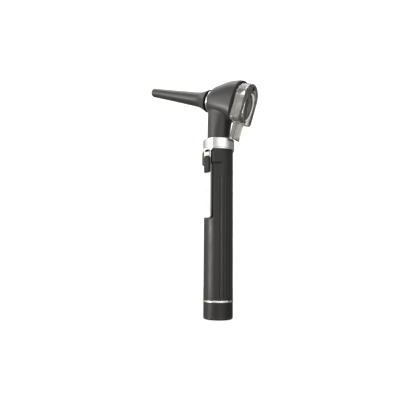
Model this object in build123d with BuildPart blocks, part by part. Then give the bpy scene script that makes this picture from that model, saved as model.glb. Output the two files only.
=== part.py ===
from build123d import *
import os
from math import sin, cos, radians, pi, sqrt, copysign

os.makedirs("parts", exist_ok=True)

# ---------------------------------------------------------------- driving sizes (mm)
# handle
BARREL_R = 9.5            # outside of the plastic grip
BARREL_Z0 = 12.1          # lower end of the grip, above the trim ring
BARREL_Z1 = 108.7         # shoulder the clip ring rests on
NIPPLE_R = 8.9            # nipple the collar pushes over
NIPPLE_Z1 = 112.5
BORE_R = 8.1              # bore of the grip
TAIL_BORE_R = 8.4         # wider bore that takes the tail sleeve
TAIL_BORE_Z1 = 18.6
FLUTE_COUNT = 17
FLUTE_PITCH = 16.1        # degrees
FLUTE_R = 0.75            # radius of the groove cutter
FLUTE_DEPTH = 0.42
FLUTE_Z0, FLUTE_Z1 = 13.2, 91.0

# switch and clip side of the handle: azimuth from -Y, positive toward +X
CLIP_AZ = -15.0
FLAT_R = 8.83             # flat under the clip
FLAT_Z0 = 63.0
CLIP_W = 6.0
CLIP_T = 0.8
CLIP_R = 10.8             # outer face of the clip
CLIP_Z0 = 64.0
CLIP_TOP = 107.6
WINDOW_W = 4.6
WINDOW_Z0 = 93.0
SLIDER_W = 4.2
SLIDER_TRAVEL = 2.0

# collar
COLLAR_R = 10.42
COLLAR_Z0, COLLAR_SHOULDER, COLLAR_Z1 = 109.35, 115.9, 117.29
COLLAR_TOP_R = 7.85
SPIGOT_R = 6.9            # head spigot in the collar
SPIGOT_BORE_R = 6.95

# tail
CAP_R = 9.45
CAP_Z1 = 10.7
RING_Z0, RING_Z1, RING_R = 10.75, 12.05, 9.65
SLEEVE_RO, SLEEVE_RI, SLEEVE_Z1 = 8.35, 7.6, 18.0

# dry cells, AA size
CELL_R = 7.25
CELL_LEN = 50.5
NUB_R, NUB_H = 2.7, 1.2
CELL_Z0 = 7.5

# head: optical axis crosses the handle axis at ZO and rises toward the speculum
ZO = 142.34
LENS_DOME_R = 40.0    # rear face of the magnifier, about three times
LENS_POLE = -22.7     # highest point of that face, along the optical axis
CREASE_R = 1.0        # fillet between neck and head
RIM_R = 0.5           # rounding of the head's rear rim
TILT = 17.1
NECK_R = 7.55
NECK_Z0 = 117.4
# height, shift toward the lens, half length, half width, squareness
NECK_SECTIONS = [(NECK_Z0, 0.0, NECK_R, NECK_R, 2.0), (124.0, 0.25, 7.6, 7.15, 2.25), (131.0, 0.9, 8.0, 6.9, 2.6), (137.5, 1.2, 8.0, 6.6, 2.7)]

# lens frame
PIVOT_V = 12.2            # pivot height above the optical axis
FRAME_S0, FRAME_S1 = -16.0, -23.0
FRAME_W, FRAME_TOP, FRAME_BOT = 9.8, 15.2, 11.4
LENS_W, LENS_H = 5.85, 9.05

ct, st = cos(radians(TILT)), sin(radians(TILT))
S_DIR = (-ct, 0, st)      # along the optical axis, toward the speculum tip
U_DIR = (st, 0, ct)
OPT = Plane(origin=(0, 0, ZO), x_dir=(0, -1, 0), z_dir=S_DIR)     # local x=-Y, y=up, z=along axis
PROF = Plane(origin=(0, 0, ZO), x_dir=S_DIR, z_dir=(0, 1, 0))     # local x=along axis, y=up
S_AXIS = Axis(origin=(0, 0, ZO), direction=S_DIR)
ca, sa = cos(radians(CLIP_AZ)), sin(radians(CLIP_AZ))
N_DIR = (sa, -ca, 0)      # outward on the clip side
CL = Plane(origin=(0, 0, 0), x_dir=N_DIR, z_dir=(0, 0, 1))        # local x=radial, y=tangential


def az_angle(az):
    """plane angle of an azimuth measured from -Y toward +X"""
    return az - 90.0


def superellipse(w, top, bot, n, k=24, dy=0.0):
    pts = []
    for i in range(k):
        a = 2 * pi * i / k
        c, s = cos(a), sin(a)
        h = top if s >= 0 else bot
        pts.append((w * copysign(abs(c) ** (2.0 / n), c), dy + h * copysign(abs(s) ** (2.0 / n), s)))
    return pts


def section(s, w, top, bot, n, k=24):
    """closed outline across the optical axis at distance s"""
    with BuildSketch(OPT.offset(s)) as sec:
        with BuildLine():
            Spline(*superellipse(w, top, bot, n, k), periodic=True)
        make_face()
    return sec.sketch


def ring_revolve(pts, mode=Mode.ADD):
    """revolve an (r, z) polygon about the handle axis"""
    with BuildSketch(Plane.XZ) as prof:
        with BuildLine():
            Polyline(*pts, close=True)
        make_face()
    revolve(prof.sketch, axis=Axis.Z, mode=mode)


def axis_revolve(pts, mode=Mode.ADD):
    """revolve an (s, r) polygon about the optical axis"""
    with BuildSketch(PROF) as prof:
        with BuildLine():
            Polyline(*pts, close=True)
        make_face()
    revolve(prof.sketch, axis=S_AXIS, mode=mode)


def radial_box(r0, r1, w, z0, z1, mode=Mode.ADD):
    with BuildSketch(CL.offset(z0)) as foot:
        with Locations(((r0 + r1) / 2, 0)):
            Rectangle(r1 - r0, w)
    extrude(foot.sketch, amount=z1 - z0, mode=mode)


def save(part, name):
    part.part.label = name
    export_step(part.part, "parts/%s.step" % name)
    print(name, round(part.part.volume, 2), len(part.part.solids()))


# ---------------------------------------------------------------- grip
with BuildPart() as barrel:
    ring_revolve([(BORE_R, BARREL_Z0), (BARREL_R, BARREL_Z0), (BARREL_R, BARREL_Z1), (NIPPLE_R, BARREL_Z1),
                  (NIPPLE_R, NIPPLE_Z1), (BORE_R, NIPPLE_Z1)])
    ring_revolve([(BORE_R - 0.5, BARREL_Z0), (TAIL_BORE_R, BARREL_Z0), (TAIL_BORE_R, TAIL_BORE_Z1), (BORE_R - 0.5, TAIL_BORE_Z1)],
                 mode=Mode.SUBTRACT)
    # flutes around the back of the grip
    with BuildSketch(Plane.XY.offset(FLUTE_Z0)):
        rc = BARREL_R + FLUTE_R - FLUTE_DEPTH
        for k in range(FLUTE_COUNT):
            ang = az_angle(CLIP_AZ + 180 + (k - (FLUTE_COUNT - 1) / 2) * FLUTE_PITCH)
            with Locations((rc * cos(radians(ang)), rc * sin(radians(ang)))):
                Circle(FLUTE_R)
    extrude(amount=FLUTE_Z1 - FLUTE_Z0, mode=Mode.SUBTRACT)
    # flat under the clip
    radial_box(FLAT_R, FLAT_R + 3, 12, FLAT_Z0, BARREL_Z1 + 0.01, mode=Mode.SUBTRACT)
    # parting line down the clip side
    radial_box(BARREL_R - 0.12, BARREL_R + 1, 0.22, BARREL_Z0 + 1.1, FLAT_Z0 + 0.5, mode=Mode.SUBTRACT)
    # slot the switch stem runs in
    radial_box(BORE_R - 1, FLAT_R + 1, 3.5, 90.2, 99.4, mode=Mode.SUBTRACT)
save(barrel, "barrel")

# black cheeks either side of the clip, guarding the switch
CHEEK_IN, CHEEK_OUT, CHEEK_Z0, CHEEK_Z1 = 9.52, 11.0, 99.3, 107.8


def cheek_sector(az0, az1):
    lo, hi = az_angle(az0), az_angle(az1)
    with BuildSketch(Plane.XY.offset(CHEEK_Z0)) as sector:
        with BuildLine():
            CenterArc((0, 0), CHEEK_OUT, lo, hi - lo)
            CenterArc((0, 0), CHEEK_IN, lo, hi - lo)
            Line((CHEEK_IN * cos(radians(lo)), CHEEK_IN * sin(radians(lo))), (CHEEK_OUT * cos(radians(lo)), CHEEK_OUT * sin(radians(lo))))
            Line((CHEEK_IN * cos(radians(hi)), CHEEK_IN * sin(radians(hi))), (CHEEK_OUT * cos(radians(hi)), CHEEK_OUT * sin(radians(hi))))
        make_face()
    extrude(sector.sketch, amount=CHEEK_Z1 - CHEEK_Z0)


with BuildPart() as cheek_front:
    cheek_sector(CLIP_AZ - 55, CLIP_AZ - 20.5)
    fillet(cheek_front.faces().filter_by(GeomType.CYLINDER).sort_by(SortBy.AREA)[-1].edges(), radius=0.6)
save(cheek_front, "cheek_front")

with BuildPart() as cheek_rear:
    cheek_sector(CLIP_AZ + 20.5, CLIP_AZ + 55)
    fillet(cheek_rear.faces().filter_by(GeomType.CYLINDER).sort_by(SortBy.AREA)[-1].edges(), radius=0.6)
save(cheek_rear, "cheek_rear")

# ---------------------------------------------------------------- conductors in the grip
with BuildPart() as contact_tube:
    with BuildSketch(Plane.XY.offset(18.1)):
        Circle(7.7)
        Circle(7.45, mode=Mode.SUBTRACT)
    extrude(amount=91.0 - 18.1)
save(contact_tube, "contact_tube")


def arc_strip(r0, r1, half_deg, z0, z1, mode=Mode.ADD):
    lo, hi = az_angle(CLIP_AZ) - half_deg, az_angle(CLIP_AZ) + half_deg
    with BuildSketch(Plane.XY.offset(z0)) as arc:
        with BuildLine():
            CenterArc((0, 0), r1, lo, hi - lo)
            CenterArc((0, 0), r0, lo, hi - lo)
            Line((r0 * cos(radians(lo)), r0 * sin(radians(lo))), (r1 * cos(radians(lo)), r1 * sin(radians(lo))))
            Line((r0 * cos(radians(hi)), r0 * sin(radians(hi))), (r1 * cos(radians(hi)), r1 * sin(radians(hi))))
        make_face()
    extrude(arc.sketch, amount=z1 - z0, mode=mode)


with BuildPart() as contact_strip:
    arc_strip(7.45, 7.7, 11, 97.3, 112.5)
save(contact_strip, "contact_strip")

with BuildPart() as slide_contact:
    arc_strip(7.76, 8.0, 10, 88.0, 96.8)
save(slide_contact, "slide_contact")

# ---------------------------------------------------------------- dry cells
def cell(z0):
    ring_revolve([(0, z0), (CELL_R - 0.6, z0), (CELL_R, z0 + 0.6), (CELL_R, z0 + CELL_LEN - NUB_H - 0.6), (CELL_R - 0.6, z0 + CELL_LEN - NUB_H),
                  (NUB_R, z0 + CELL_LEN - NUB_H), (NUB_R, z0 + CELL_LEN), (0, z0 + CELL_LEN)])


with BuildPart() as cell_lower:
    cell(CELL_Z0)
save(cell_lower, "cell_lower")
with BuildPart() as cell_upper:
    cell(CELL_Z0 + CELL_LEN + 0.02)
save(cell_upper, "cell_upper")
CELL_TOP = CELL_Z0 + 2 * CELL_LEN + 0.02

# ---------------------------------------------------------------- tail cap
with BuildPart() as tail_cap:
    with BuildSketch(Plane.XY):
        Circle(CAP_R)
    extrude(amount=CAP_Z1)
    fillet(tail_cap.edges().sort_by(Axis.Z)[0], radius=1.2)
    with BuildSketch(Plane.XY.offset(2.15)):
        Circle(SLEEVE_RO + 0.03)
    extrude(amount=CAP_Z1, mode=Mode.SUBTRACT)
save(tail_cap, "tail_cap")

with BuildPart() as tail_ring:
    ring_revolve([(SLEEVE_RO + 0.06, RING_Z0), (RING_R - 0.25, RING_Z0), (RING_R, RING_Z0 + 0.25), (RING_R, RING_Z1 - 0.25),
                  (RING_R - 0.25, RING_Z1), (SLEEVE_RO + 0.06, RING_Z1)])
save(tail_ring, "tail_ring")

with BuildPart() as tail_sleeve:
    ring_revolve([(0, 2.2), (SLEEVE_RO, 2.2), (SLEEVE_RO, SLEEVE_Z1 - 0.3), (SLEEVE_RO - 0.3, SLEEVE_Z1), (SLEEVE_RI, SLEEVE_Z1), (SLEEVE_RI, 3.0), (0, 3.0)])
save(tail_sleeve, "tail_sleeve")

SPRING_WIRE = 0.35
with BuildPart() as battery_spring:
    with BuildLine():
        coil = Helix(pitch=1.05, height=3.66, radius=5.6, center=(0, 0, 3.0 + 0.02 + SPRING_WIRE), cone_angle=-32)
    with BuildSketch(Plane(origin=coil @ 0, z_dir=coil % 0)):
        Circle(SPRING_WIRE)
    sweep()
save(battery_spring, "battery_spring")

# ---------------------------------------------------------------- collar and clip
with BuildPart() as collar:
    ring_revolve([(8.95, COLLAR_Z0), (COLLAR_R - 0.3, COLLAR_Z0), (COLLAR_R, COLLAR_Z0 + 0.3), (COLLAR_R, COLLAR_SHOULDER - 0.25), (COLLAR_R - 0.3, COLLAR_SHOULDER + 0.08),
                  (COLLAR_TOP_R, COLLAR_Z1), (SPIGOT_BORE_R, COLLAR_Z1), (SPIGOT_BORE_R, 114.95), (7.5, 114.95), (7.5, 113.95),
                  (SPIGOT_BORE_R, 113.95), (SPIGOT_BORE_R, 112.6), (8.95, 112.6)])
save(collar, "collar")

with BuildPart() as coupling_ring:
    with BuildSketch(Plane.XY.offset(114.0)):
        Circle(7.4)
        Circle(SPIGOT_BORE_R + 0.02, mode=Mode.SUBTRACT)
        with Locations((0, 7.2)):
            Rectangle(1.6, 2.0, mode=Mode.SUBTRACT)
    extrude(amount=0.9)
save(coupling_ring, "coupling_ring")

with BuildPart() as clip_ring:
    with BuildSketch(Plane.XY.offset(BARREL_Z1 + 0.03)):
        Circle(COLLAR_R - 0.12)
        Circle(NIPPLE_R + 0.04, mode=Mode.SUBTRACT)
    extrude(amount=0.55)
    # rooted shoulder the clip hangs from, flaring into the ring
    with BuildSketch(CL.offset(CLIP_TOP + 0.1)):
        with Locations(((CLIP_R + 9.9) / 2, 0)):
            Rectangle(CLIP_R - 9.9, CLIP_W)
    with BuildSketch(CL.offset(BARREL_Z1 + 0.5)):
        with Locations(((10.25 + 9.55) / 2, 0)):
            Rectangle(10.25 - 9.55, CLIP_W + 3.4)
    loft()
    # channel the button runs up into
    radial_box(8.6, 14, WINDOW_W + 0.1, CLIP_TOP - 0.5, BARREL_Z1 + 0.02, mode=Mode.SUBTRACT)
save(clip_ring, "clip_ring")

with BuildPart() as pocket_clip:
    radial_box(9.2, CLIP_R, CLIP_W, CLIP_Z0, CLIP_TOP)
    # rounded tip corners
    fillet(pocket_clip.edges().filter_by(Axis(origin=(0, 0, 0), direction=N_DIR)).group_by(Axis.Z)[0], radius=1.2)
    radial_box(8.0, CLIP_R - CLIP_T, CLIP_W - 1.4, CLIP_Z0 - 1, CLIP_TOP + 1, mode=Mode.SUBTRACT)
    # side flanges taper away toward the tip
    with BuildSketch(Plane(origin=(0, 0, 0), x_dir=N_DIR, z_dir=(-ca, -sa, 0))):
        with BuildLine():
            Polyline((8.5, CLIP_Z0 - 1), (CLIP_R - CLIP_T - 0.2, CLIP_Z0 - 1), (CLIP_R - CLIP_T - 0.2, CLIP_Z0), (9.2, CLIP_Z0 + 5.5), (8.5, CLIP_Z0 + 5.5), close=True)
        make_face()
    extrude(amount=6, both=True, mode=Mode.SUBTRACT)
    # window for the switch button
    radial_box(8.0, 14, WINDOW_W, WINDOW_Z0, CLIP_TOP + 1, mode=Mode.SUBTRACT)
    # inward dimple that rests on the pocket cloth
    with BuildSketch(Plane(origin=(N_DIR[0] * (CLIP_R - CLIP_T), N_DIR[1] * (CLIP_R - CLIP_T), CLIP_Z0 + 2.6), x_dir=(0, 0, 1), z_dir=(-N_DIR[0], -N_DIR[1], 0))):
        Circle(1.1)
    extrude(amount=0.65)
save(pocket_clip, "pocket_clip")

# ---------------------------------------------------------------- switch
with BuildPart() as switch_slider:
    radial_box(8.92, 9.7, SLIDER_W, 90.5, 106.5)
    radial_box(8.0, 9.0, 3.1, 90.6, 96.4)
    with BuildSketch(Plane.XY.offset(90.0)):
        Circle(8.02)
    extrude(amount=8, mode=Mode.SUBTRACT)
    radial_box(9.6, 11.9, SLIDER_W, 93.6, 103.1)
    # grip ribs across the button
    for i in range(6):
        radial_box(11.6, 12.5, SLIDER_W + 1, 94.5 + i * 1.42, 94.5 + i * 1.42 + 0.6, mode=Mode.SUBTRACT)
save(switch_slider, "switch_slider")

with BuildPart() as slider_bar:
    radial_box(9.72, 11.75, SLIDER_W, 103.75, 106.5)
    fillet(slider_bar.edges().filter_by(Axis(origin=(0, 0, 0), direction=(ca, sa, 0))).sort_by(Axis(origin=(0, 0, 0), direction=N_DIR))[-2:], radius=0.5)
save(slider_bar, "slider_bar")

# ---------------------------------------------------------------- contacts under the head
with BuildPart() as contact_carrier:
    with BuildSketch(Plane.XY.offset(109.2)):
        Circle(8.05)
        Circle(1.06, mode=Mode.SUBTRACT)
    extrude(amount=1.2)
    arc_strip(7.3, 8.3, 13, 109.0, 110.6, mode=Mode.SUBTRACT)
save(contact_carrier, "contact_carrier")

with BuildPart() as positive_contact:
    ring_revolve([(0, CELL_TOP + 0.05), (1.0, CELL_TOP + 0.05), (1.0, 111.2), (2.0, 111.2), (2.0, 111.6), (1.0, 111.6), (0.8, 112.2), (0, 112.2)])
save(positive_contact, "positive_contact")

with BuildPart() as contact_spring:
    with BuildLine():
        coil2 = Helix(pitch=0.36, height=0.46, radius=1.5, center=(0, 0, 110.56))
    with BuildSketch(Plane(origin=coil2 @ 0, z_dir=coil2 % 0)):
        Circle(0.13)
    sweep()
save(contact_spring, "contact_spring")

# ---------------------------------------------------------------- head coupling and lamp
with BuildPart() as head_socket:
    ring_revolve([(3.3, 111.0), (SPIGOT_R - 0.3, 111.0), (SPIGOT_R, 111.3), (SPIGOT_R, 117.35), (5.6, 117.35), (5.6, 128.0), (3.3, 128.0)])
save(head_socket, "head_socket")

with BuildPart() as lamp_base:
    ring_revolve([(1.9, 113.5), (3.25, 113.5), (3.25, 121.0), (1.9, 121.0)])
save(lamp_base, "lamp_base")

with BuildPart() as lamp_insulator:
    ring_revolve([(0.62, 113.5), (1.87, 113.5), (1.87, 115.0), (0.62, 115.0)])
save(lamp_insulator, "lamp_insulator")

with BuildPart() as lamp_pin:
    ring_revolve([(0, 112.3), (0.4, 112.3), (0.6, 112.5), (0.6, 115.8), (0, 115.8)])
save(lamp_pin, "lamp_pin")

with BuildPart() as lamp_bulb:
    ring_revolve([(1.4, 116.2), (1.84, 116.2), (1.84, 123.6), (1.7, 124.3), (1.3, 124.85), (0.7, 125.12), (0, 125.2), (0, 124.5), (0.6, 124.4), (1.1, 124.0), (1.4, 123.3)])
save(lamp_bulb, "lamp_bulb")

with BuildPart() as lamp_filament:
    with BuildLine():
        Spline((-0.85, 0, 115.05), (-0.8, 0, 120.4), (-0.35, 0, 121.7), (0.35, 0, 121.7), (0.8, 0, 120.4), (0.85, 0, 115.05), tangents=((0, 0, 1), (0, 0, -1)))
    with BuildSketch(Plane(origin=(-0.85, 0, 115.05), z_dir=(0, 0, 1))):
        Circle(0.12)
    sweep()
save(lamp_filament, "lamp_filament")

with BuildPart() as guide_ferrule:
    ring_revolve([(0.86, 125.7), (3.25, 125.7), (3.25, 127.9), (0.86, 127.9)])
save(guide_ferrule, "guide_ferrule")

# ---------------------------------------------------------------- light guide
LEG_R = 0.8
LEG_V = -4.6


def opt_point(s, v):
    return (-s * ct + v * st, 0, ZO + s * st + v * ct)


leg_a = (0, 0, 125.8)
leg_b = opt_point(1.2, LEG_V)


def leg_sweep(radius, mode=Mode.ADD, z_start=125.8):
    with BuildLine() as leg:
        Spline((0, 0, z_start), (0, 0, 130.5), leg_b, tangents=((0, 0, 1), S_DIR))
    with BuildSketch(Plane(origin=(0, 0, z_start), z_dir=(0, 0, 1))) as leg_end:
        Circle(radius)
    sweep(leg_end.sketch, path=leg.line, mode=mode)


with BuildPart() as light_guide:
    leg_sweep(LEG_R)
    axis_revolve([(0.6, 3.8), (0.6, 5.4), (6.0, 4.6), (14.0, 3.85), (22.2, 3.1), (22.2, 2.75), (14.0, 3.2), (6.0, 3.6)])
save(light_guide, "light_guide")

# ---------------------------------------------------------------- head shell
with BuildPart() as head_shell:
    loft([section(5.2, 7.9, 8.2, 7.9, 2.0), section(4.1, 8.2, 9.7, 8.3, 2.05), section(1.0, 8.7, 11.6, 8.8, 2.15),
          section(-2.5, 9.1, 13.3, 9.1, 2.25), section(-7.0, 9.5, 15.2, 9.5, 2.35), section(-11.0, 9.7, 16.1, 10.4, 2.4),
          section(-14.2, 9.8, 16.6, 11.4, 2.45)])
    # neck: round at the collar, squarer toward the head
    for z, dx, a, b, n in NECK_SECTIONS:
        with BuildSketch(Plane.XY.offset(z)):
            with BuildLine():
                Spline(*[(dx + copysign(abs(cos(t)) ** (2 / n), cos(t)) * a, copysign(abs(sin(t)) ** (2 / n), sin(t)) * b)
                         for t in (2 * pi * (k + 0.5) / 24 for k in range(24))], periodic=True)
            make_face()
    loft()
    # soft run-out where the neck meets the head, rounded rear rim
    fillet(head_shell.edges().filter_by_position(Axis.Z, 130, 138), radius=CREASE_R)
    fillet(head_shell.edges().sort_by(S_AXIS)[0], radius=RIM_R)
    # hollow behind the nose, open to the rear
    loft([section(-14.3, 7.2, 9.8, 9.2, 2.3), section(-9.0, 6.9, 9.4, 8.4, 2.25), section(-3.4, 5.4, 6.4, 5.6, 2.1)], mode=Mode.SUBTRACT)
    # nose bore
    axis_revolve([(-2.2, 0), (-2.2, 6.2), (7.0, 6.2), (7.0, 0)], mode=Mode.SUBTRACT)
    axis_revolve([(-4.0, 0), (-4.0, 4.6), (-2.0, 4.6), (-2.0, 0)], mode=Mode.SUBTRACT)
    # socket bore in the neck and light-guide channel
    ring_revolve([(0, NECK_Z0 - 1), (5.63, NECK_Z0 - 1), (5.63, 128.1), (3.3, 128.1), (3.3, 128.6), (0, 128.6)], mode=Mode.SUBTRACT)
    leg_sweep(LEG_R + 0.12, mode=Mode.SUBTRACT)
    # pocket for the pivot insert
    with BuildSketch(OPT.offset(-14.3)):
        with Locations((0, PIVOT_V)):
            Circle(1.93)
    extrude(amount=5.6, mode=Mode.SUBTRACT)
save(head_shell, "head_shell")

with BuildPart() as nose_cone:
    axis_revolve([(-2.0, 5.5), (-2.0, 6.15), (5.22, 6.15), (5.22, 6.85), (7.6, 6.85), (8.2, 6.3), (11.0, 5.2), (14.0, 4.45), (18.0, 3.8), (22.2, 3.45),
                  (22.2, 3.14), (14.0, 3.92), (6.0, 4.68), (0.4, 5.5)])
    leg_sweep(LEG_R + 0.12, mode=Mode.SUBTRACT)
save(nose_cone, "nose_cone")

with BuildPart() as nose_tube:
    axis_revolve([(-2.0, 3.5), (-2.0, 5.45), (-0.9, 5.45), (-0.9, 3.75), (0.6, 3.75), (6.0, 3.55), (14.0, 3.15), (22.2, 2.7), (22.2, 2.35), (14.0, 2.75), (6.0, 3.15)])
    # notch in the rear flange that lets the light guide past
    with BuildSketch(OPT.offset(-3)):
        with Locations((0, LEG_V - 0.8)):
            Rectangle(2.6, 3.0)
    extrude(amount=2.4, mode=Mode.SUBTRACT)
save(nose_tube, "nose_tube")

with BuildPart() as seat_ring:
    axis_revolve([(5.22, 6.88), (5.22, 7.6), (5.4, 7.8), (5.75, 7.8), (5.9, 7.65), (5.9, 6.88)])
save(seat_ring, "seat_ring")

# ---------------------------------------------------------------- speculum
SPEC_OUT = [(8.15, 7.55), (9.0, 7.2), (10.9, 6.45), (12.9, 5.65), (15.6, 5.1), (19.0, 4.82), (26.0, 4.48), (33.0, 4.12), (44.0, 3.62), (52.0, 3.3), (55.75, 3.16)]
SPEC_IN = [(55.75, 2.5), (52.0, 2.62), (44.0, 2.92), (33.0, 3.38), (26.0, 3.7), (19.0, 4.1), (15.6, 4.45), (12.9, 5.0), (10.9, 5.8), (9.0, 6.6), (8.3, 6.92)]
with BuildPart() as speculum:
    with BuildSketch(PROF):
        with BuildLine():
            Polyline((5.95, 7.5), (6.15, 7.7), (7.95, 7.7), (8.15, 7.55))
            Spline(*SPEC_OUT)
            Polyline((55.75, 3.16), (56.55, 3.02), (56.9, 2.79), (56.65, 2.55), (55.75, 2.5))
            Spline(*SPEC_IN)
            Polyline((8.3, 6.92), (5.95, 6.92), (5.95, 7.5))
        make_face()
    revolve(axis=S_AXIS)
save(speculum, "speculum")

# ---------------------------------------------------------------- rear gasket, lens frame, magnifier
with BuildPart() as head_gasket:
    with BuildSketch(OPT.offset(-14.22)):
        with BuildLine():
            Spline(*superellipse(9.7, 16.45, 11.3, 2.45), periodic=True)
        make_face()
        with BuildLine():
            Spline(*superellipse(7.3, 9.9, 9.3, 2.3), periodic=True)
        make_face(mode=Mode.SUBTRACT)
        with Locations((0, PIVOT_V)):
            Circle(1.1, mode=Mode.SUBTRACT)
    extrude(amount=-1.55)
save(head_gasket, "head_gasket")


def frame_plate(s, thick, w, top, bot, corner):
    """arched plate: round top of radius w, straight sides, softly cornered foot"""
    cy = top - w
    with BuildSketch(OPT.offset(s)) as plate:
        with BuildLine():
            CenterArc((0, cy), w, 0, 180)
            Line((-w, cy), (-w, -bot + corner))
            TangentArc((-w, -bot + corner), (-w + corner, -bot), tangent=(0, -1))
            Line((-w + corner, -bot), (w - corner, -bot))
            TangentArc((w - corner, -bot), (w, -bot + corner), tangent=(1, 0))
            Line((w, -bot + corner), (w, cy))
        make_face()
    extrude(plate.sketch, amount=-thick)


with BuildPart() as lens_frame:
    frame_plate(FRAME_S0, 1.01, FRAME_W - 0.5, FRAME_TOP - 0.3, FRAME_BOT - 0.3, 2.6)
    frame_plate(FRAME_S0 - 1.0, FRAME_S0 - 1.0 - FRAME_S1, FRAME_W, FRAME_TOP, FRAME_BOT, 2.8)
    # thumb tab, foot cut level with the collar so that it clears it
    with BuildSketch(PROF):
        with BuildLine():
            Polyline((-17.2, -10.8), (-17.2, -21.4), (-17.7, -22.0), (-19.9, -22.7), (-20.4, -22.2), (-20.4, -10.8), close=True)
        make_face()
    extrude(amount=5.0, both=True)
    # polished round edges down the tab
    fillet([e for e in lens_frame.edges().filter_by(Axis(origin=(0, 0, 0), direction=U_DIR)) if abs(abs(e.center().Y) - 5.0) < 0.01], radius=0.5)
    # finger recess in the tab's rear face
    with BuildSketch(OPT.offset(-20.45)):
        with Locations((0, -16.4)):
            RectangleRounded(6.2, 8.2, 1.2)
    extrude(amount=0.65, mode=Mode.SUBTRACT)
    # lens pocket with a ledge in front
    with BuildSketch(OPT.offset(FRAME_S0 + 0.5)):
        with BuildLine():
            Spline(*superellipse(LENS_W - 0.6, LENS_H - 0.6, LENS_H - 0.6, 2.3), periodic=True)
        make_face()
    extrude(amount=-2.5, mode=Mode.SUBTRACT)
    with BuildSketch(OPT.offset(FRAME_S0 - 1.3)):
        with BuildLine():
            Spline(*superellipse(LENS_W, LENS_H, LENS_H, 2.3), periodic=True)
        make_face()
    extrude(amount=-7, mode=Mode.SUBTRACT)
    # pivot hole and counterbore
    with BuildSketch(OPT.offset(FRAME_S0 + 0.5)):
        with Locations((0, PIVOT_V)):
            Circle(1.06)
    extrude(amount=-9, mode=Mode.SUBTRACT)
    with BuildSketch(OPT.offset(-20.9)):
        with Locations((0, PIVOT_V)):
            Circle(1.85)
    extrude(amount=-3, mode=Mode.SUBTRACT)
    # rounded outer rims and window edge
    fillet(lens_frame.faces().sort_by(S_AXIS)[0].outer_wire().edges(), radius=0.5)
    fillet(lens_frame.faces().sort_by(S_AXIS)[-1].outer_wire().edges(), radius=0.3)
    fillet([e for w in lens_frame.faces().sort_by(S_AXIS)[0].inner_wires() for e in w.edges()], radius=0.3)
save(lens_frame, "lens_frame")

with BuildPart() as magnifier_lens:
    with BuildSketch(OPT.offset(FRAME_S0 - 1.34)):
        with BuildLine():
            Spline(*superellipse(LENS_W - 0.04, LENS_H - 0.04, LENS_H - 0.04, 2.3), periodic=True)
        make_face()
    extrude(amount=-5.6)
    # domed rear face, just inside the window edge
    with Locations(OPT.offset(LENS_POLE + LENS_DOME_R)):
        Sphere(LENS_DOME_R, mode=Mode.INTERSECT)
save(magnifier_lens, "magnifier_lens")

PIV = Plane(origin=opt_point(0, PIVOT_V), x_dir=(0, -1, 0), z_dir=S_DIR)
with BuildPart() as pivot_insert:
    with BuildSketch(PIV.offset(-14.2)):
        Circle(1.9)
        Circle(1.03, mode=Mode.SUBTRACT)
    extrude(amount=5.2)
save(pivot_insert, "pivot_insert")

with BuildPart() as pivot_washer:
    with BuildSketch(PIV.offset(-20.95)):
        Circle(1.75)
        Circle(1.08, mode=Mode.SUBTRACT)
    extrude(amount=-0.35)
save(pivot_washer, "pivot_washer")

with BuildPart() as pivot_screw:
    with BuildSketch(PIV.offset(-9.4)):
        Circle(1.0)
    extrude(amount=-12.0)
    with BuildSketch(PIV.offset(-21.35)):
        Circle(1.65)
    extrude(amount=-1.3)
    with BuildSketch(PIV.offset(-22.65)):
        Rectangle(0.4, 4)
    extrude(amount=0.55, mode=Mode.SUBTRACT)
save(pivot_screw, "pivot_screw")
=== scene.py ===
import math
import bpy
import bmesh
from mathutils import Matrix, Vector


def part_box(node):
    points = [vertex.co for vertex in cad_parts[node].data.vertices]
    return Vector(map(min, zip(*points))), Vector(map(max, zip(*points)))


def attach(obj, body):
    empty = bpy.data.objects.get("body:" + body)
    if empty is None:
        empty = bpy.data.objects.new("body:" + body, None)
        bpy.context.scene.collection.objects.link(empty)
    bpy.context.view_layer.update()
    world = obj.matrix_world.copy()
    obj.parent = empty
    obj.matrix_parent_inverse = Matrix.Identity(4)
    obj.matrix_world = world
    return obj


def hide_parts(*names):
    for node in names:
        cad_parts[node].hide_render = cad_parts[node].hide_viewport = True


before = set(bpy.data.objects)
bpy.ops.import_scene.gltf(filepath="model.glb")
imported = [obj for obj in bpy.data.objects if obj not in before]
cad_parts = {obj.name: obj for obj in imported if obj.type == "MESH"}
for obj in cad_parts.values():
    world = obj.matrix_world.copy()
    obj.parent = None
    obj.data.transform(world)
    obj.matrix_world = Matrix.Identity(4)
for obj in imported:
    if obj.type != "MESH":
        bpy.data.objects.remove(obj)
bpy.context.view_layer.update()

# ------------------------------------------------------------------ shared sizes, mm (same frame as the CAD)
ZO, TILT = 142.34, math.radians(17.1)
CT, ST = math.cos(TILT), math.sin(TILT)
CLIP_AZ = math.radians(-15.0)
N = Vector((math.sin(CLIP_AZ), -math.cos(CLIP_AZ), 0))
T = Vector((math.cos(CLIP_AZ), math.sin(CLIP_AZ), 0))


def opt(s, y, v):
    """point at distance s along the optical axis, sideways y, up v"""
    return (-s * CT + v * ST, y, ZO + s * ST + v * CT)


def clp(r, t, z):
    """point on the clip side: radial r, tangential t, height z"""
    p = N * r + T * t
    return (p.x, p.y, z)


def hnd(x, y, z):
    return (x, y, z)


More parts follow.
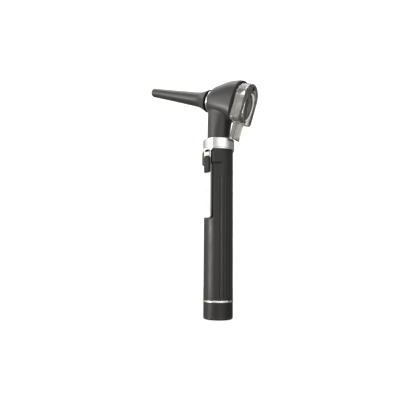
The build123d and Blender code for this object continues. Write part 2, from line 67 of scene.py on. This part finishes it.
# ------------------------------------------------------------------ mesh helpers
def make_obj(name, verts, faces, angle=35.0, merge=1e-4, mm=True):
    me = bpy.data.meshes.new(name)
    k = 0.001 if mm else 1.0
    me.from_pydata([(v[0] * k, v[1] * k, v[2] * k) for v in verts], [], faces)
    bm = bmesh.new()
    bm.from_mesh(me)
    bmesh.ops.remove_doubles(bm, verts=bm.verts, dist=merge * k)
    bmesh.ops.dissolve_degenerate(bm, dist=merge * k, edges=bm.edges)
    bmesh.ops.recalc_face_normals(bm, faces=bm.faces)
    for f in bm.faces:
        f.smooth = True
    lim = math.radians(angle)
    for e in bm.edges:
        e.smooth = not (len(e.link_faces) == 2 and e.calc_face_angle(0.0) > lim)
    bm.to_mesh(me)
    bm.free()
    ob = bpy.data.objects.new(name, me)
    bpy.context.scene.collection.objects.link(ob)
    return ob


def rounded(pts, r, n=4, closed=True):
    """polygon with its corners rounded; r is a number or a list per point"""
    out = []
    m = len(pts)
    rs = r if isinstance(r, (list, tuple)) else [r] * m
    for i, p in enumerate(pts):
        p = Vector(p)
        if (not closed and i in (0, m - 1)) or rs[i] <= 0:
            out.append((p.x, p.y))
            continue
        a, b = Vector(pts[i - 1]), Vector(pts[(i + 1) % m])
        da, db = a - p, b - p
        la, lb = da.length, db.length
        if la < 1e-9 or lb < 1e-9:
            out.append((p.x, p.y))
            continue
        t = min(rs[i], 0.48 * la, 0.48 * lb)
        pa, pb = p + da / la * t, p + db / lb * t
        for k in range(n + 1):
            u = k / n
            q = (1 - u) ** 2 * pa + 2 * u * (1 - u) * p + u * u * pb
            out.append((q.x, q.y))
    return out


def lathe(name, prof, place, seg=128, angle=35.0):
    """revolve a closed (r, h) polygon; place(x, y, h) maps to the frame, with h along the turning axis"""
    verts, faces = [], []
    m = len(prof)
    for r, h in prof:
        for k in range(seg):
            a = 2 * math.pi * k / seg
            verts.append(place(r * math.cos(a), r * math.sin(a), h))
    for i in range(m):
        j = (i + 1) % m
        if prof[i][0] < 1e-6 and prof[j][0] < 1e-6:
            continue
        for k in range(seg):
            l = (k + 1) % seg
            q = [i * seg + k, i * seg + l, j * seg + l, j * seg + k]
            if prof[i][0] < 1e-6:
                q = [i * seg, j * seg + l, j * seg + k]
            elif prof[j][0] < 1e-6:
                q = [i * seg + k, i * seg + l, j * seg]
            faces.append(q)
    return make_obj(name, verts, faces, angle)


def on_axis(x, y, h):
    """lathe placement about the optical axis"""
    return opt(h, x, y)


def bridge(rings, cap0=True, cap1=True):
    """faces joining closed rings of equal length"""
    verts, faces = [], []
    n = len(rings[0])
    for ring in rings:
        verts.extend(ring)
    for i in range(len(rings) - 1):
        for k in range(n):
            l = (k + 1) % n
            faces.append([i * n + k, i * n + l, (i + 1) * n + l, (i + 1) * n + k])
    if cap0:
        faces.append(list(range(n))[::-1])
    if cap1:
        base = (len(rings) - 1) * n
        faces.append([base + k for k in range(n)])
    return verts, faces


def boolean(ob, cutter, op="DIFFERENCE"):
    mod = ob.modifiers.new("cut", "BOOLEAN")
    mod.operation, mod.object, mod.solver = op, cutter, "EXACT"
    dg = bpy.context.evaluated_depsgraph_get()
    me = bpy.data.meshes.new_from_object(ob.evaluated_get(dg))
    ob.modifiers.clear()
    old = ob.data
    ob.data = me
    bpy.data.meshes.remove(old)
    bpy.data.objects.remove(cutter)


def box_cutter(place, a, b):
    (x0, y0, z0), (x1, y1, z1) = a, b
    vs = [place(x, y, z) for z in (z0, z1) for x, y in ((x0, y0), (x1, y0), (x1, y1), (x0, y1))]
    fs = [[0, 1, 2, 3], [4, 5, 6, 7], [0, 1, 5, 4], [1, 2, 6, 5], [2, 3, 7, 6], [3, 0, 4, 7]]
    return make_obj("cutter", vs, fs)


def edge_bevel(ob, width, segments=2, angle=30.0, planar=True):
    """small rounded edges on a flat-sided piece"""
    if planar:
        d = ob.modifiers.new("planar", "DECIMATE")
        d.decimate_type, d.angle_limit = "DISSOLVE", math.radians(2.0)
    b = ob.modifiers.new("edges", "BEVEL")
    b.width, b.segments, b.limit_method, b.angle_limit = width * 0.001, segments, "ANGLE", math.radians(angle)
    b.harden_normals = False
    w = ob.modifiers.new("normals", "WEIGHTED_NORMAL")
    w.keep_sharp = False
    w.weight = 60


# ------------------------------------------------------------------ material helpers
def new_mat(name):
    m = bpy.data.materials.new(name)
    m.use_nodes = True
    nt = m.node_tree
    bsdf = nt.nodes["Principled BSDF"]
    return m, nt, bsdf


def node(nt, kind, **kw):
    n = nt.nodes.new(kind)
    for k, v in kw.items():
        setattr(n, k, v)
    return n


def obj_coords(nt, scale=(1, 1, 1)):
    tc = node(nt, "ShaderNodeTexCoord")
    mp = node(nt, "ShaderNodeMapping")
    mp.inputs["Scale"].default_value = scale
    nt.links.new(tc.outputs["Object"], mp.inputs["Vector"])
    return mp.outputs["Vector"]


def noise(nt, vec, scale, detail=4.0, rough=0.5):
    n = node(nt, "ShaderNodeTexNoise")
    n.inputs["Scale"].default_value = scale
    n.inputs["Detail"].default_value = detail
    n.inputs["Roughness"].default_value = rough
    nt.links.new(vec, n.inputs["Vector"])
    return n.outputs["Fac"]


def ramp(nt, fac, stops):
    r = node(nt, "ShaderNodeValToRGB")
    el = r.color_ramp.elements
    el[0].position, el[0].color = stops[0][0], stops[0][1]
    el[1].position, el[1].color = stops[-1][0], stops[-1][1]
    for p, c in stops[1:-1]:
        e = el.new(p)
        e.color = c
    nt.links.new(fac, r.inputs["Fac"])
    return r.outputs["Color"]


def grey(v, a=1.0):
    return (v, v, v, a)


def maprange(nt, fac, a, b, c, d):
    m = node(nt, "ShaderNodeMapRange")
    m.inputs["From Min"].default_value, m.inputs["From Max"].default_value = a, b
    m.inputs["To Min"].default_value, m.inputs["To Max"].default_value = c, d
    nt.links.new(fac, m.inputs["Value"])
    return m.outputs["Result"]


def bump(nt, bsdf, height, dist, strength=1.0, chain=None):
    b = node(nt, "ShaderNodeBump")
    b.inputs["Distance"].default_value = dist
    b.inputs["Strength"].default_value = strength
    nt.links.new(height, b.inputs["Height"])
    if chain is not None:
        nt.links.new(chain, b.inputs["Normal"])
    nt.links.new(b.outputs["Normal"], bsdf.inputs["Normal"])
    return b.outputs["Normal"]


def hairlines(nt, stretch, scale, width=0.010):
    """thin winding scratches: 1 on the line, 0 elsewhere"""
    f = noise(nt, obj_coords(nt, stretch), scale, 2.0, 0.45)
    off = node(nt, "ShaderNodeMath", operation="SUBTRACT")
    nt.links.new(f, off.inputs[0])
    off.inputs[1].default_value = 0.5
    ab = node(nt, "ShaderNodeMath", operation="ABSOLUTE")
    nt.links.new(off.outputs[0], ab.inputs[0])
    line = maprange(nt, ab.outputs[0], 0.0, width, 1.0, 0.0)
    # broken up, so that each scratch starts and ends
    gate = maprange(nt, noise(nt, obj_coords(nt), scale * 0.9, 1.0, 0.5), 0.52, 0.60, 0.0, 1.0)
    mul = node(nt, "ShaderNodeMath", operation="MULTIPLY")
    nt.links.new(line, mul.inputs[0])
    nt.links.new(gate, mul.inputs[1])
    return mul.outputs[0]


def add(nt, a, b, k=1.0):
    m = node(nt, "ShaderNodeMath", operation="MULTIPLY_ADD")
    nt.links.new(b, m.inputs[0])
    m.inputs[1].default_value = k
    nt.links.new(a, m.inputs[2])
    return m.outputs[0]


def mixcol(nt, fac, a, b):
    """colour a where fac is 0, colour b where it is 1; a is a socket"""
    m = node(nt, "ShaderNodeMix", data_type="RGBA")
    nt.links.new(fac, m.inputs["Factor"])
    nt.links.new(a, m.inputs[6])
    m.inputs[7].default_value = b
    return m.outputs[2]


def height_mask(nt, z0, z1):
    """1 at height z0 fading to 0 at z1, in metres"""
    tc = node(nt, "ShaderNodeTexCoord")
    sep = node(nt, "ShaderNodeSeparateXYZ")
    nt.links.new(tc.outputs["Object"], sep.inputs["Vector"])
    return maprange(nt, sep.outputs["Z"], z0, z1, 1.0, 0.0)


def plastic(name, col, var, rough, rvar, grain_scale, grain_depth, spec=0.5, scuff=None, scuff_col=(0.09, 0.09, 0.085, 1), line_gain=1.0):
    """moulded plastic: faint tone clouds, fine spark-eroded grain, handling marks in the gloss, hairline scratches, scuffed ends"""
    m, nt, bs = new_mat(name)
    v = obj_coords(nt)
    cloud = noise(nt, v, 90.0, 3.0, 0.55)
    lo = tuple(max(0, c * (1 - var)) for c in col) + (1,)
    hi = tuple(c * (1 + var) for c in col) + (1,)
    colour = ramp(nt, cloud, [(0.3, lo), (0.7, hi)])
    lines = hairlines(nt, (1, 1, 0.3), 150.0, 0.006)
    colour = mixcol(nt, maprange(nt, lines, 0, 1, 0.0, 0.35 * line_gain), colour, tuple(min(1, c * 3 + 0.01) for c in col) + (1,))
    smear = noise(nt, obj_coords(nt, (1, 1, 0.35)), 260.0, 5.0, 0.6)
    rg = maprange(nt, smear, 0.3, 0.7, rough - rvar, rough + rvar)
    rg = add(nt, rg, lines, 0.18 * line_gain)
    if scuff:
        z0, z1 = scuff
        chips = maprange(nt, noise(nt, v, 900.0, 4.0, 0.65), 0.48, 0.62, 0.0, 1.0)
        mask = node(nt, "ShaderNodeMath", operation="MULTIPLY")
        nt.links.new(height_mask(nt, z0, z1), mask.inputs[0])
        nt.links.new(chips, mask.inputs[1])
        mask.use_clamp = True
        colour = mixcol(nt, mask.outputs[0], colour, scuff_col)
        rg = add(nt, rg, mask.outputs[0], 0.25)
    nt.links.new(colour, bs.inputs["Base Color"])
    nt.links.new(rg, bs.inputs["Roughness"])
    grain = noise(nt, v, grain_scale, 2.0, 0.5)
    n1 = bump(nt, bs, grain, grain_depth)
    bump(nt, bs, lines, 1.5e-6, 1.0, chain=n1)
    bs.inputs["Specular IOR Level"].default_value = spec
    bs.inputs["IOR"].default_value = 1.5
    return m


def metal(name, col, rough, rvar, brush=(1, 1, 1), brush_scale=400.0, brush_depth=2e-6, worn=0.0, scratch=1.0e-6):
    """plated or turned metal: fine polishing lines, patchy gloss, a few hairline scratches"""
    m, nt, bs = new_mat(name)
    bs.inputs["Metallic"].default_value = 1.0
    v = obj_coords(nt)
    cloud = noise(nt, v, 120.0, 3.0, 0.5)
    lo, hi = tuple(c * 0.93 for c in col) + (1,), tuple(min(1, c * 1.03) for c in col) + (1,)
    colour = ramp(nt, cloud, [(0.35, lo), (0.65, hi)])
    line = noise(nt, obj_coords(nt, brush), brush_scale, 4.0, 0.6)
    rg = maprange(nt, line, 0.3, 0.7, max(0.02, rough - rvar), rough + rvar)
    hair = hairlines(nt, (1, 1, 0.5), 210.0, 0.007)
    rg = add(nt, rg, hair, 0.20)
    if worn:
        dull = maprange(nt, noise(nt, v, 70.0, 4.0, 0.6), 0.50, 0.70, 0.0, 1.0)
        rg = add(nt, rg, dull, worn)
        colour = mixcol(nt, maprange(nt, dull, 0, 1, 0, 0.3), colour, tuple(c * 0.8 for c in col) + (1,))
    nt.links.new(colour, bs.inputs["Base Color"])
    nt.links.new(rg, bs.inputs["Roughness"])
    n1 = bump(nt, bs, line, brush_depth)
    bump(nt, bs, hair, scratch, 1.0, chain=n1)
    return m


def clear(name, tint, rough, ior, depth=1e-6, scale=120.0, marks=0.0, haze=0.0):
    """transparent moulding with faint flow ripple and rubbed surfaces"""
    m, nt, bs = new_mat(name)
    v = obj_coords(nt)
    f = noise(nt, v, scale, 2.0, 0.4)
    lo, hi = tuple(c * 0.96 for c in tint) + (1,), tuple(tint) + (1,)
    nt.links.new(ramp(nt, f, [(0.3, lo), (0.7, hi)]), bs.inputs["Base Color"])
    rg = maprange(nt, f, 0.3, 0.7, rough * 0.6, rough * 1.4)
    n1 = bump(nt, bs, f, depth)
    if marks:
        hair = hairlines(nt, (1, 1, 1), 190.0, 0.006)
        rg = add(nt, rg, hair, marks)
        bump(nt, bs, hair, 1.0e-6, 1.0, chain=n1)
    nt.links.new(rg, bs.inputs["Roughness"])
    bs.inputs["Transmission Weight"].default_value = 1.0 - haze
    bs.inputs["IOR"].default_value = ior
    return m


M = {}
M["grip"] = plastic("grip_plastic", (0.0085, 0.0083, 0.0074), 0.18, 0.43, 0.05, 2600.0, 4e-6)
M["cheek"] = plastic("cheek_plastic", (0.0085, 0.0083, 0.0074), 0.18, 0.44, 0.05, 2600.0, 4e-6)
M["cap"] = plastic("cap_plastic", (0.0090, 0.0088, 0.0080), 0.15, 0.41, 0.05, 2600.0, 4e-6, spec=0.4, scuff=(0.0004, 0.0022))
M["head"] = plastic("head_plastic", (0.026, 0.026, 0.0240), 0.12, 0.36, 0.04, 2200.0, 4e-6)
M["spec"] = plastic("speculum_plastic", (0.021, 0.021, 0.0195), 0.10, 0.38, 0.04, 2400.0, 4e-6)
M["switch"] = plastic("switch_plastic", (0.007, 0.007, 0.0066), 0.2, 0.50, 0.08, 2800.0, 8e-6, spec=0.32)
M["inner"] = plastic("insulator_plastic", (0.42, 0.38, 0.30), 0.08, 0.45, 0.05, 1800.0, 5e-6)
M["rubber"] = plastic("gasket_rubber", (0.006, 0.006, 0.006), 0.3, 0.75, 0.08, 1500.0, 1e-5, spec=0.3)
M["chrome"] = metal("chrome_turned", (0.86, 0.86, 0.85), 0.15, 0.05, (0.06, 0.06, 5), 700.0, 1.0e-6, worn=0.05)
M["clip"] = metal("chrome_clip", (0.86, 0.86, 0.85), 0.13, 0.05, (6, 6, 0.06), 700.0, 1.0e-6, worn=0.025)
M["satin"] = metal("satin_chrome", (0.70, 0.70, 0.69), 0.27, 0.04, (1, 1, 1), 700.0, 3e-7, scratch=2e-7)
M["steel"] = metal("bright_steel", (0.55, 0.54, 0.52), 0.26, 0.08, (1, 1, 1), 700.0, 2e-6)
M["dark_steel"] = metal("black_oxide_steel", (0.045, 0.043, 0.042), 0.34, 0.08, (1, 1, 1), 900.0, 2e-6)
M["brass"] = metal("brass", (0.72, 0.52, 0.22), 0.28, 0.09, (1, 1, 0.2), 600.0, 2e-6)
M["alu"] = metal("turned_metal", (0.62, 0.62, 0.61), 0.28, 0.08, (0.2, 0.2, 6), 500.0, 2e-6)
M["black_metal"] = metal("blackened_metal", (0.030, 0.030, 0.030), 0.45, 0.08, (1, 1, 1), 500.0, 2e-6)
M["nose"] = plastic("nose_black", (0.010, 0.010, 0.010), 0.2, 0.38, 0.05, 1800.0, 3e-6)
# painted shade: the grey tint of the clear acrylic stands in for the dark surroundings seen through it
M["acrylic"] = clear("clear_acrylic", (0.60, 0.585, 0.555), 0.04, 1.49, 2e-6, 90.0, marks=0.12, haze=0.11)
# painted shade: the lens glass is tinted darker than real glass, standing in for the dark inside of the head seen
# through it
M["lens"] = clear("lens_glass", (0.55, 0.565, 0.54), 0.008, 1.52, 1e-7, 60.0)
M["bulb"] = clear("bulb_glass", (0.98, 0.98, 0.96), 0.02, 1.5, 4e-7, 200.0)


def fibre_material():
    m, nt, bs = new_mat("fused_fibre")
    v = obj_coords(nt)
    vo = node(nt, "ShaderNodeTexVoronoi")
    vo.inputs["Scale"].default_value = 4500.0
    nt.links.new(v, vo.inputs["Vector"])
    nt.links.new(ramp(nt, vo.outputs["Distance"], [(0.0, (0.85, 0.83, 0.74, 1)), (1.0, (0.45, 0.42, 0.34, 1))]), bs.inputs["Base Color"])
    nt.links.new(maprange(nt, vo.outputs["Distance"], 0, 1, 0.15, 0.4), bs.inputs["Roughness"])
    bump(nt, bs, vo.outputs["Distance"], 4e-6)
    return m


def cell_material():
    """sleeve of a dry cell: dark jacket with a plain bright band"""
    m, nt, bs = new_mat("cell_jacket")
    tc = node(nt, "ShaderNodeTexCoord")
    sep = node(nt, "ShaderNodeSeparateXYZ")
    nt.links.new(tc.outputs["Object"], sep.inputs["Vector"])
    mod = node(nt, "ShaderNodeMath", operation="PINGPONG")
    nt.links.new(sep.outputs["Z"], mod.inputs[0])
    mod.inputs[1].default_value = 0.05052
    band = ramp(nt, maprange(nt, mod.outputs[0], 0.0, 0.0505, 0, 1), [(0.0, (0.02, 0.02, 0.025, 1)), (0.66, (0.03, 0.03, 0.035, 1)), (0.70, (0.45, 0.30, 0.10, 1)), (1.0, (0.5, 0.34, 0.12, 1))])
    nt.links.new(band, bs.inputs["Base Color"])
    g = noise(nt, obj_coords(nt), 500.0, 3.0, 0.5)
    nt.links.new(maprange(nt, g, 0.3, 0.7, 0.25, 0.4), bs.inputs["Roughness"])
    bump(nt, bs, g, 3e-6)
    return m


def axis_mask(nt, direction, near, far):
    """1 at distance near along a direction from where the two axes cross, fading to 0 at distance far; metres"""
    tc = node(nt, "ShaderNodeTexCoord")
    dot = node(nt, "ShaderNodeVectorMath", operation="DOT_PRODUCT")
    dot.inputs[1].default_value = direction
    nt.links.new(tc.outputs["Object"], dot.inputs[0])
    off = ZO * 0.001 * direction[2]
    return maprange(nt, dot.outputs["Value"], near + off, far + off, 1.0, 0.0)


def tab_painted_shade(m, v0, v1):
    """painted shade: the clear plastic of the thumb tab is darkened, standing in for the dim surroundings seen through
    it
    """
    nt = m.node_tree
    bs = nt.nodes["Principled BSDF"]
    mask = axis_mask(nt, (ST, 0.0, CT), v0, v1)
    old = bs.inputs["Base Color"].links[0].from_socket
    nt.links.new(mixcol(nt, mask, old, (0.36, 0.35, 0.33, 1)), bs.inputs["Base Color"])


def lip_painted_shade(m, s0, s1):
    """painted shade: a matte black band where the wide end of the speculum turns in to its seat, standing in for the
    shade there; s0 to s1 along the optical axis, metres
    """
    nt = m.node_tree
    bs = nt.nodes["Principled BSDF"]
    mask = axis_mask(nt, (-CT, 0.0, ST), s0, s1)
    old = bs.inputs["Base Color"].links[0].from_socket
    nt.links.new(mixcol(nt, mask, old, (0.002, 0.002, 0.002, 1)), bs.inputs["Base Color"])
    rough = bs.inputs["Roughness"].links[0].from_socket
    nt.links.new(add(nt, rough, mask, 0.45), bs.inputs["Roughness"])
    nt.links.new(maprange(nt, mask, 0.0, 1.0, 0.5, 0.08), bs.inputs["Specular IOR Level"])


# painted shade: black band at the speculum's wide end
lip_painted_shade(M["spec"], 0.0078, 0.0081)
# painted shade: darker clear plastic on the thumb tab
tab_painted_shade(M["acrylic"], -0.0125, -0.0105)
M["fibre"] = fibre_material()
M["cell"] = cell_material()


def dress(ob, key):
    ob.data.materials.clear()
    ob.data.materials.append(M[key])


# ------------------------------------------------------------------ carried-over CAD nodes
CARRY = {
    "contact_tube": "brass", "contact_strip": "brass", "slide_contact": "brass", "positive_contact": "brass", "lamp_pin": "brass", "lamp_base": "brass",
    "pivot_insert": "brass", "cell_lower": "cell", "cell_upper": "cell", "tail_sleeve": "alu", "head_socket": "alu", "guide_ferrule": "alu", "nose_tube": "black_metal",
    "nose_cone": "nose", "contact_carrier": "inner", "lamp_insulator": "inner", "battery_spring": "steel", "contact_spring": "steel", "coupling_ring": "steel",
    "lamp_bulb": "bulb", "lamp_filament": "steel", "light_guide": "fibre", "head_gasket": "rubber", "pivot_washer": "dark_steel", "pivot_screw": "dark_steel",
    "barrel": "grip", "cheek_front": "cheek", "cheek_rear": "cheek", "tail_cap": "cap", "head_shell": "head", "speculum": "spec", "collar": "chrome", "tail_ring": "satin",
    "pocket_clip": "clip", "clip_ring": "chrome", "seat_ring": "satin", "slider_bar": "chrome", "switch_slider": "switch", "lens_frame": "acrylic", "magnifier_lens": "lens",
}
for name, key in CARRY.items():
    dress(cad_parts[name], key)


def stand_for(ob, cad, body, key):
    dress(ob, key)
    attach(ob, body)
    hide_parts(cad)


# ------------------------------------------------------------------ magnifier: polished glass, domed to the rear
def outline(a, b, n, k=120):
    pts = []
    for i in range(k):
        t = 2 * math.pi * (i + 0.5) / k
        c, q = math.cos(t), math.sin(t)
        pts.append((math.copysign(abs(c) ** (2 / n), c) * a, math.copysign(abs(q) ** (2 / n), q) * b))
    return pts


def magnifier():
    lo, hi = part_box("magnifier_lens")
    a, b, n = 5.81, 9.01, 2.3
    R, pole, front = 40.0, -22.7, -17.34
    edge = outline(a, b, n)
    rear = lambda y, v: pole + R - math.sqrt(R * R - y * y - v * v)
    verts, faces = [opt(front, 0, 0)], []
    k = len(edge)
    rings = [("f", q) for q in (0.25, 0.5, 0.75, 0.9, 0.985)] + [("e", front - 0.14)] + [("m", 0.33), ("m", 0.66)] + [("r", 1.0), ("r", 0.985), ("r", 0.92), ("r", 0.8), ("r", 0.65), ("r", 0.5), ("r", 0.35), ("r", 0.2), ("r", 0.08)]
    for kind, q in rings:
        for y, v in edge:
            if kind == "f":
                verts.append(opt(front, y * q, v * q))
            elif kind == "e":
                verts.append(opt(q, y, v))
            elif kind == "m":
                s0, s1 = front - 0.14, rear(y, v) + 0.12
                verts.append(opt(s0 + (s1 - s0) * q, y, v))
            else:
                verts.append(opt(rear(y * q, v * q) + (0.12 if q == 1.0 else 0.0), y * q, v * q))
    verts.append(opt(pole, 0, 0))
    for i in range(k):
        faces.append([0, 1 + i, 1 + (i + 1) % k])
        last = 1 + (len(rings) - 1) * k
        faces.append([len(verts) - 1, last + (i + 1) % k, last + i])
    for r in range(len(rings) - 1):
        for i in range(k):
            p, q = 1 + r * k, 1 + (r + 1) * k
            faces.append([p + i, p + (i + 1) % k, q + (i + 1) % k, q + i])
    ob = make_obj("magnifier_glass", verts, faces, angle=25.0)
    stand_for(ob, "magnifier_lens", "eyepiece", "lens")


magnifier()

# small rounded edges on the flat-sided pieces
for name, width, seg in (("pocket_clip", 0.16, 3), ("switch_slider", 0.12, 2), ("slider_bar", 0.16, 3), ("cheek_front", 0.15, 2), ("cheek_rear", 0.15, 2), ("clip_ring", 0.10, 2)):
    edge_bevel(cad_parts[name], width, seg)

# ------------------------------------------------------------------ stage, light, camera
def floor_material():
    m, nt, bs = new_mat("studio_paper")
    v = obj_coords(nt)
    f = noise(nt, v, 8.0, 3.0, 0.5)
    nt.links.new(ramp(nt, f, [(0.3, grey(0.90)), (0.7, grey(0.93))]), bs.inputs["Base Color"])
    bs.inputs["Roughness"].default_value = 0.9
    bs.inputs["Specular IOR Level"].default_value = 0.1
    return m


# the photographed view is turned 28 degrees from the switch side toward the lens side
AZ = math.radians(28.0)


def cam_frame(right, away, up):
    """point given in the camera's own floor directions, metres: right, away from the camera, up"""
    R = Vector((math.cos(AZ), math.sin(AZ), 0))
    F = Vector((-math.sin(AZ), math.cos(AZ), 0))
    p = R * right + F * away
    return Vector((p.x, p.y, up))


def sweep_floor():
    """pale floor that curves up into a backdrop far behind"""
    # it starts behind the object, so the unscrewed tail cap has room to come down
    prof = [(0.30, 0.0), (0.9, 0.0)]
    for k in range(1, 17):
        a = math.radians(90) * k / 16
        prof.append((0.9 + 0.6 * math.sin(a), 0.6 - 0.6 * math.cos(a)))
    prof.append((1.5, 2.4))
    vs, fs = [], []
    for side in (-1, 1):
        for y, z in prof:
            vs.append(cam_frame(side * (0.20 + 0.62 * max(0.0, y)), y, z - 0.00002))
    n = len(prof)
    for i in range(n - 1):
        fs.append([i, i + 1, n + i + 1, n + i])
    ob = make_obj("studio_floor", vs, fs, mm=False, merge=1e-6)
    ob.data.materials.append(floor_material())
    ob.visible_glossy = False      # black flags beside a product keep its edges dark; the floor stays out of the gloss the same way
    return ob


sweep_floor()


def studio_world():
    """soft dome of light: even fill, a broad bright side at the left front, gentle light from above"""
    sc = bpy.context.scene
    sc.view_settings.view_transform = "Standard"
    w = sc.world or bpy.data.worlds.new("studio")
    sc.world = w
    w.use_nodes = True
    nt = w.node_tree
    nt.nodes.clear()
    out = nt.nodes.new("ShaderNodeOutputWorld")
    back = nt.nodes.new("ShaderNodeBackground")
    tc = nt.nodes.new("ShaderNodeTexCoord")
    back.inputs["Color"].default_value = (1.0, 0.99, 0.965, 1)
    total = None
    base = 0.22
    for d, gain, power in LOBES:
        v = cam_frame(*d).normalized()
        dot = nt.nodes.new("ShaderNodeVectorMath")
        dot.operation = "DOT_PRODUCT"
        dot.inputs[1].default_value = v
        nt.links.new(tc.outputs["Generated"], dot.inputs[0])
        mx = nt.nodes.new("ShaderNodeMath")
        mx.operation = "MAXIMUM"
        mx.inputs[1].default_value = 0.0
        nt.links.new(dot.outputs["Value"], mx.inputs[0])
        pw = nt.nodes.new("ShaderNodeMath")
        pw.operation = "POWER"
        pw.inputs[1].default_value = power
        nt.links.new(mx.outputs[0], pw.inputs[0])
        ml = nt.nodes.new("ShaderNodeMath")
        ml.operation = "MULTIPLY_ADD"
        ml.inputs[1].default_value = gain
        nt.links.new(pw.outputs[0], ml.inputs[0])
        if total is None:
            ml.inputs[2].default_value = base
        else:
            nt.links.new(total, ml.inputs[2])
        total = ml.outputs[0]
    # seen directly the surroundings are plain and pale; the lamps only show in reflections
    path = nt.nodes.new("ShaderNodeLightPath")
    seen = nt.nodes.new("ShaderNodeMix")
    seen.data_type = "FLOAT"
    nt.links.new(path.outputs["Is Camera Ray"], seen.inputs["Factor"])
    nt.links.new(total, seen.inputs[2])
    seen.inputs[3].default_value = 1.05
    nt.links.new(seen.outputs[0], back.inputs["Strength"])
    nt.links.new(back.outputs[0], out.inputs["Surface"])


# direction (right, away, up), gain, sharpness
LOBES = [((-1.0, -0.04, 0.05), 0.85, 6.0), ((-0.70, 0.70, 0.10), 0.15, 2.0), ((0.48, -0.87, 0.10), 0.92, 5.0),
         ((0.0, -1.0, 0.0), 0.50, 2.0), ((0.0, 0.0, 1.0), 0.18, 1.5)]
studio_world()


def area(name, loc, target, size, power, size_y=None):
    d = bpy.data.lights.new(name, "AREA")
    d.energy = power
    d.color = (1.0, 0.99, 0.965)
    d.shape = "RECTANGLE" if size_y else "SQUARE"
    d.size = size
    if size_y:
        d.size_y = size_y
    o = bpy.data.objects.new(name, d)
    o.location = loc
    o.rotation_euler = (Vector(target) - Vector(loc)).to_track_quat("-Z", "Y").to_euler()
    bpy.context.scene.collection.objects.link(o)
    return o


target = cam_frame(0, 0, 0.09)
area("key_left", cam_frame(-0.555, -0.278, 0.20), target, 0.34, 1.6, 0.5)
area("head_kick", cam_frame(-0.46, -0.205, 0.075), cam_frame(0, 0, 0.137), 0.08, 0.88, 0.08)
area("top", cam_frame(0.0, 0.10, 0.9), target, 0.8, 6.0)
# these face away from the object and only whiten the backdrop
area("wash_left", cam_frame(-0.8, 0.30, 0.9), cam_frame(-0.2, 1.6, 0.5), 0.6, 7.0)
area("wash_right", cam_frame(0.8, 0.30, 0.9), cam_frame(0.2, 1.6, 0.5), 0.6, 7.0)


def add_camera():
    yaw, pitch, roll = -2.338, 7.09, 0.543      # heading left of the handle axis, degrees
    d, h = 0.29787, 0.03912
    cam = bpy.data.cameras.new("cam")
    cam.sensor_width, cam.sensor_fit = 36.0, "HORIZONTAL"
    cam.lens = 456.6 / 400.0 * 36.0
    cam.clip_start, cam.clip_end = 0.01, 20.0
    ob = bpy.data.objects.new("cam", cam)
    bpy.context.scene.collection.objects.link(ob)
    y, p, r = math.radians(yaw), math.radians(pitch), math.radians(roll)
    # directions in camera-floor axes (right, away, up)
    F = Vector((math.sin(y) * math.cos(p), math.cos(y) * math.cos(p), math.sin(p)))
    R0 = Vector((math.cos(y), -math.sin(y), 0))
    U0 = R0.cross(F)
    R = R0 * math.cos(r) + U0 * math.sin(r)
    U = -R0 * math.sin(r) + U0 * math.cos(r)
    to = lambda v: cam_frame(v.x, v.y, v.z)
    R, U, F = to(R), to(U), to(F)
    m = Matrix((
        (R.x, U.x, -F.x, 0), (R.y, U.y, -F.y, 0), (R.z, U.z, -F.z, 0), (0, 0, 0, 1)))
    m.translation = cam_frame(0, -d, h)
    ob.matrix_world = m
    bpy.context.scene.camera = ob


add_camera()
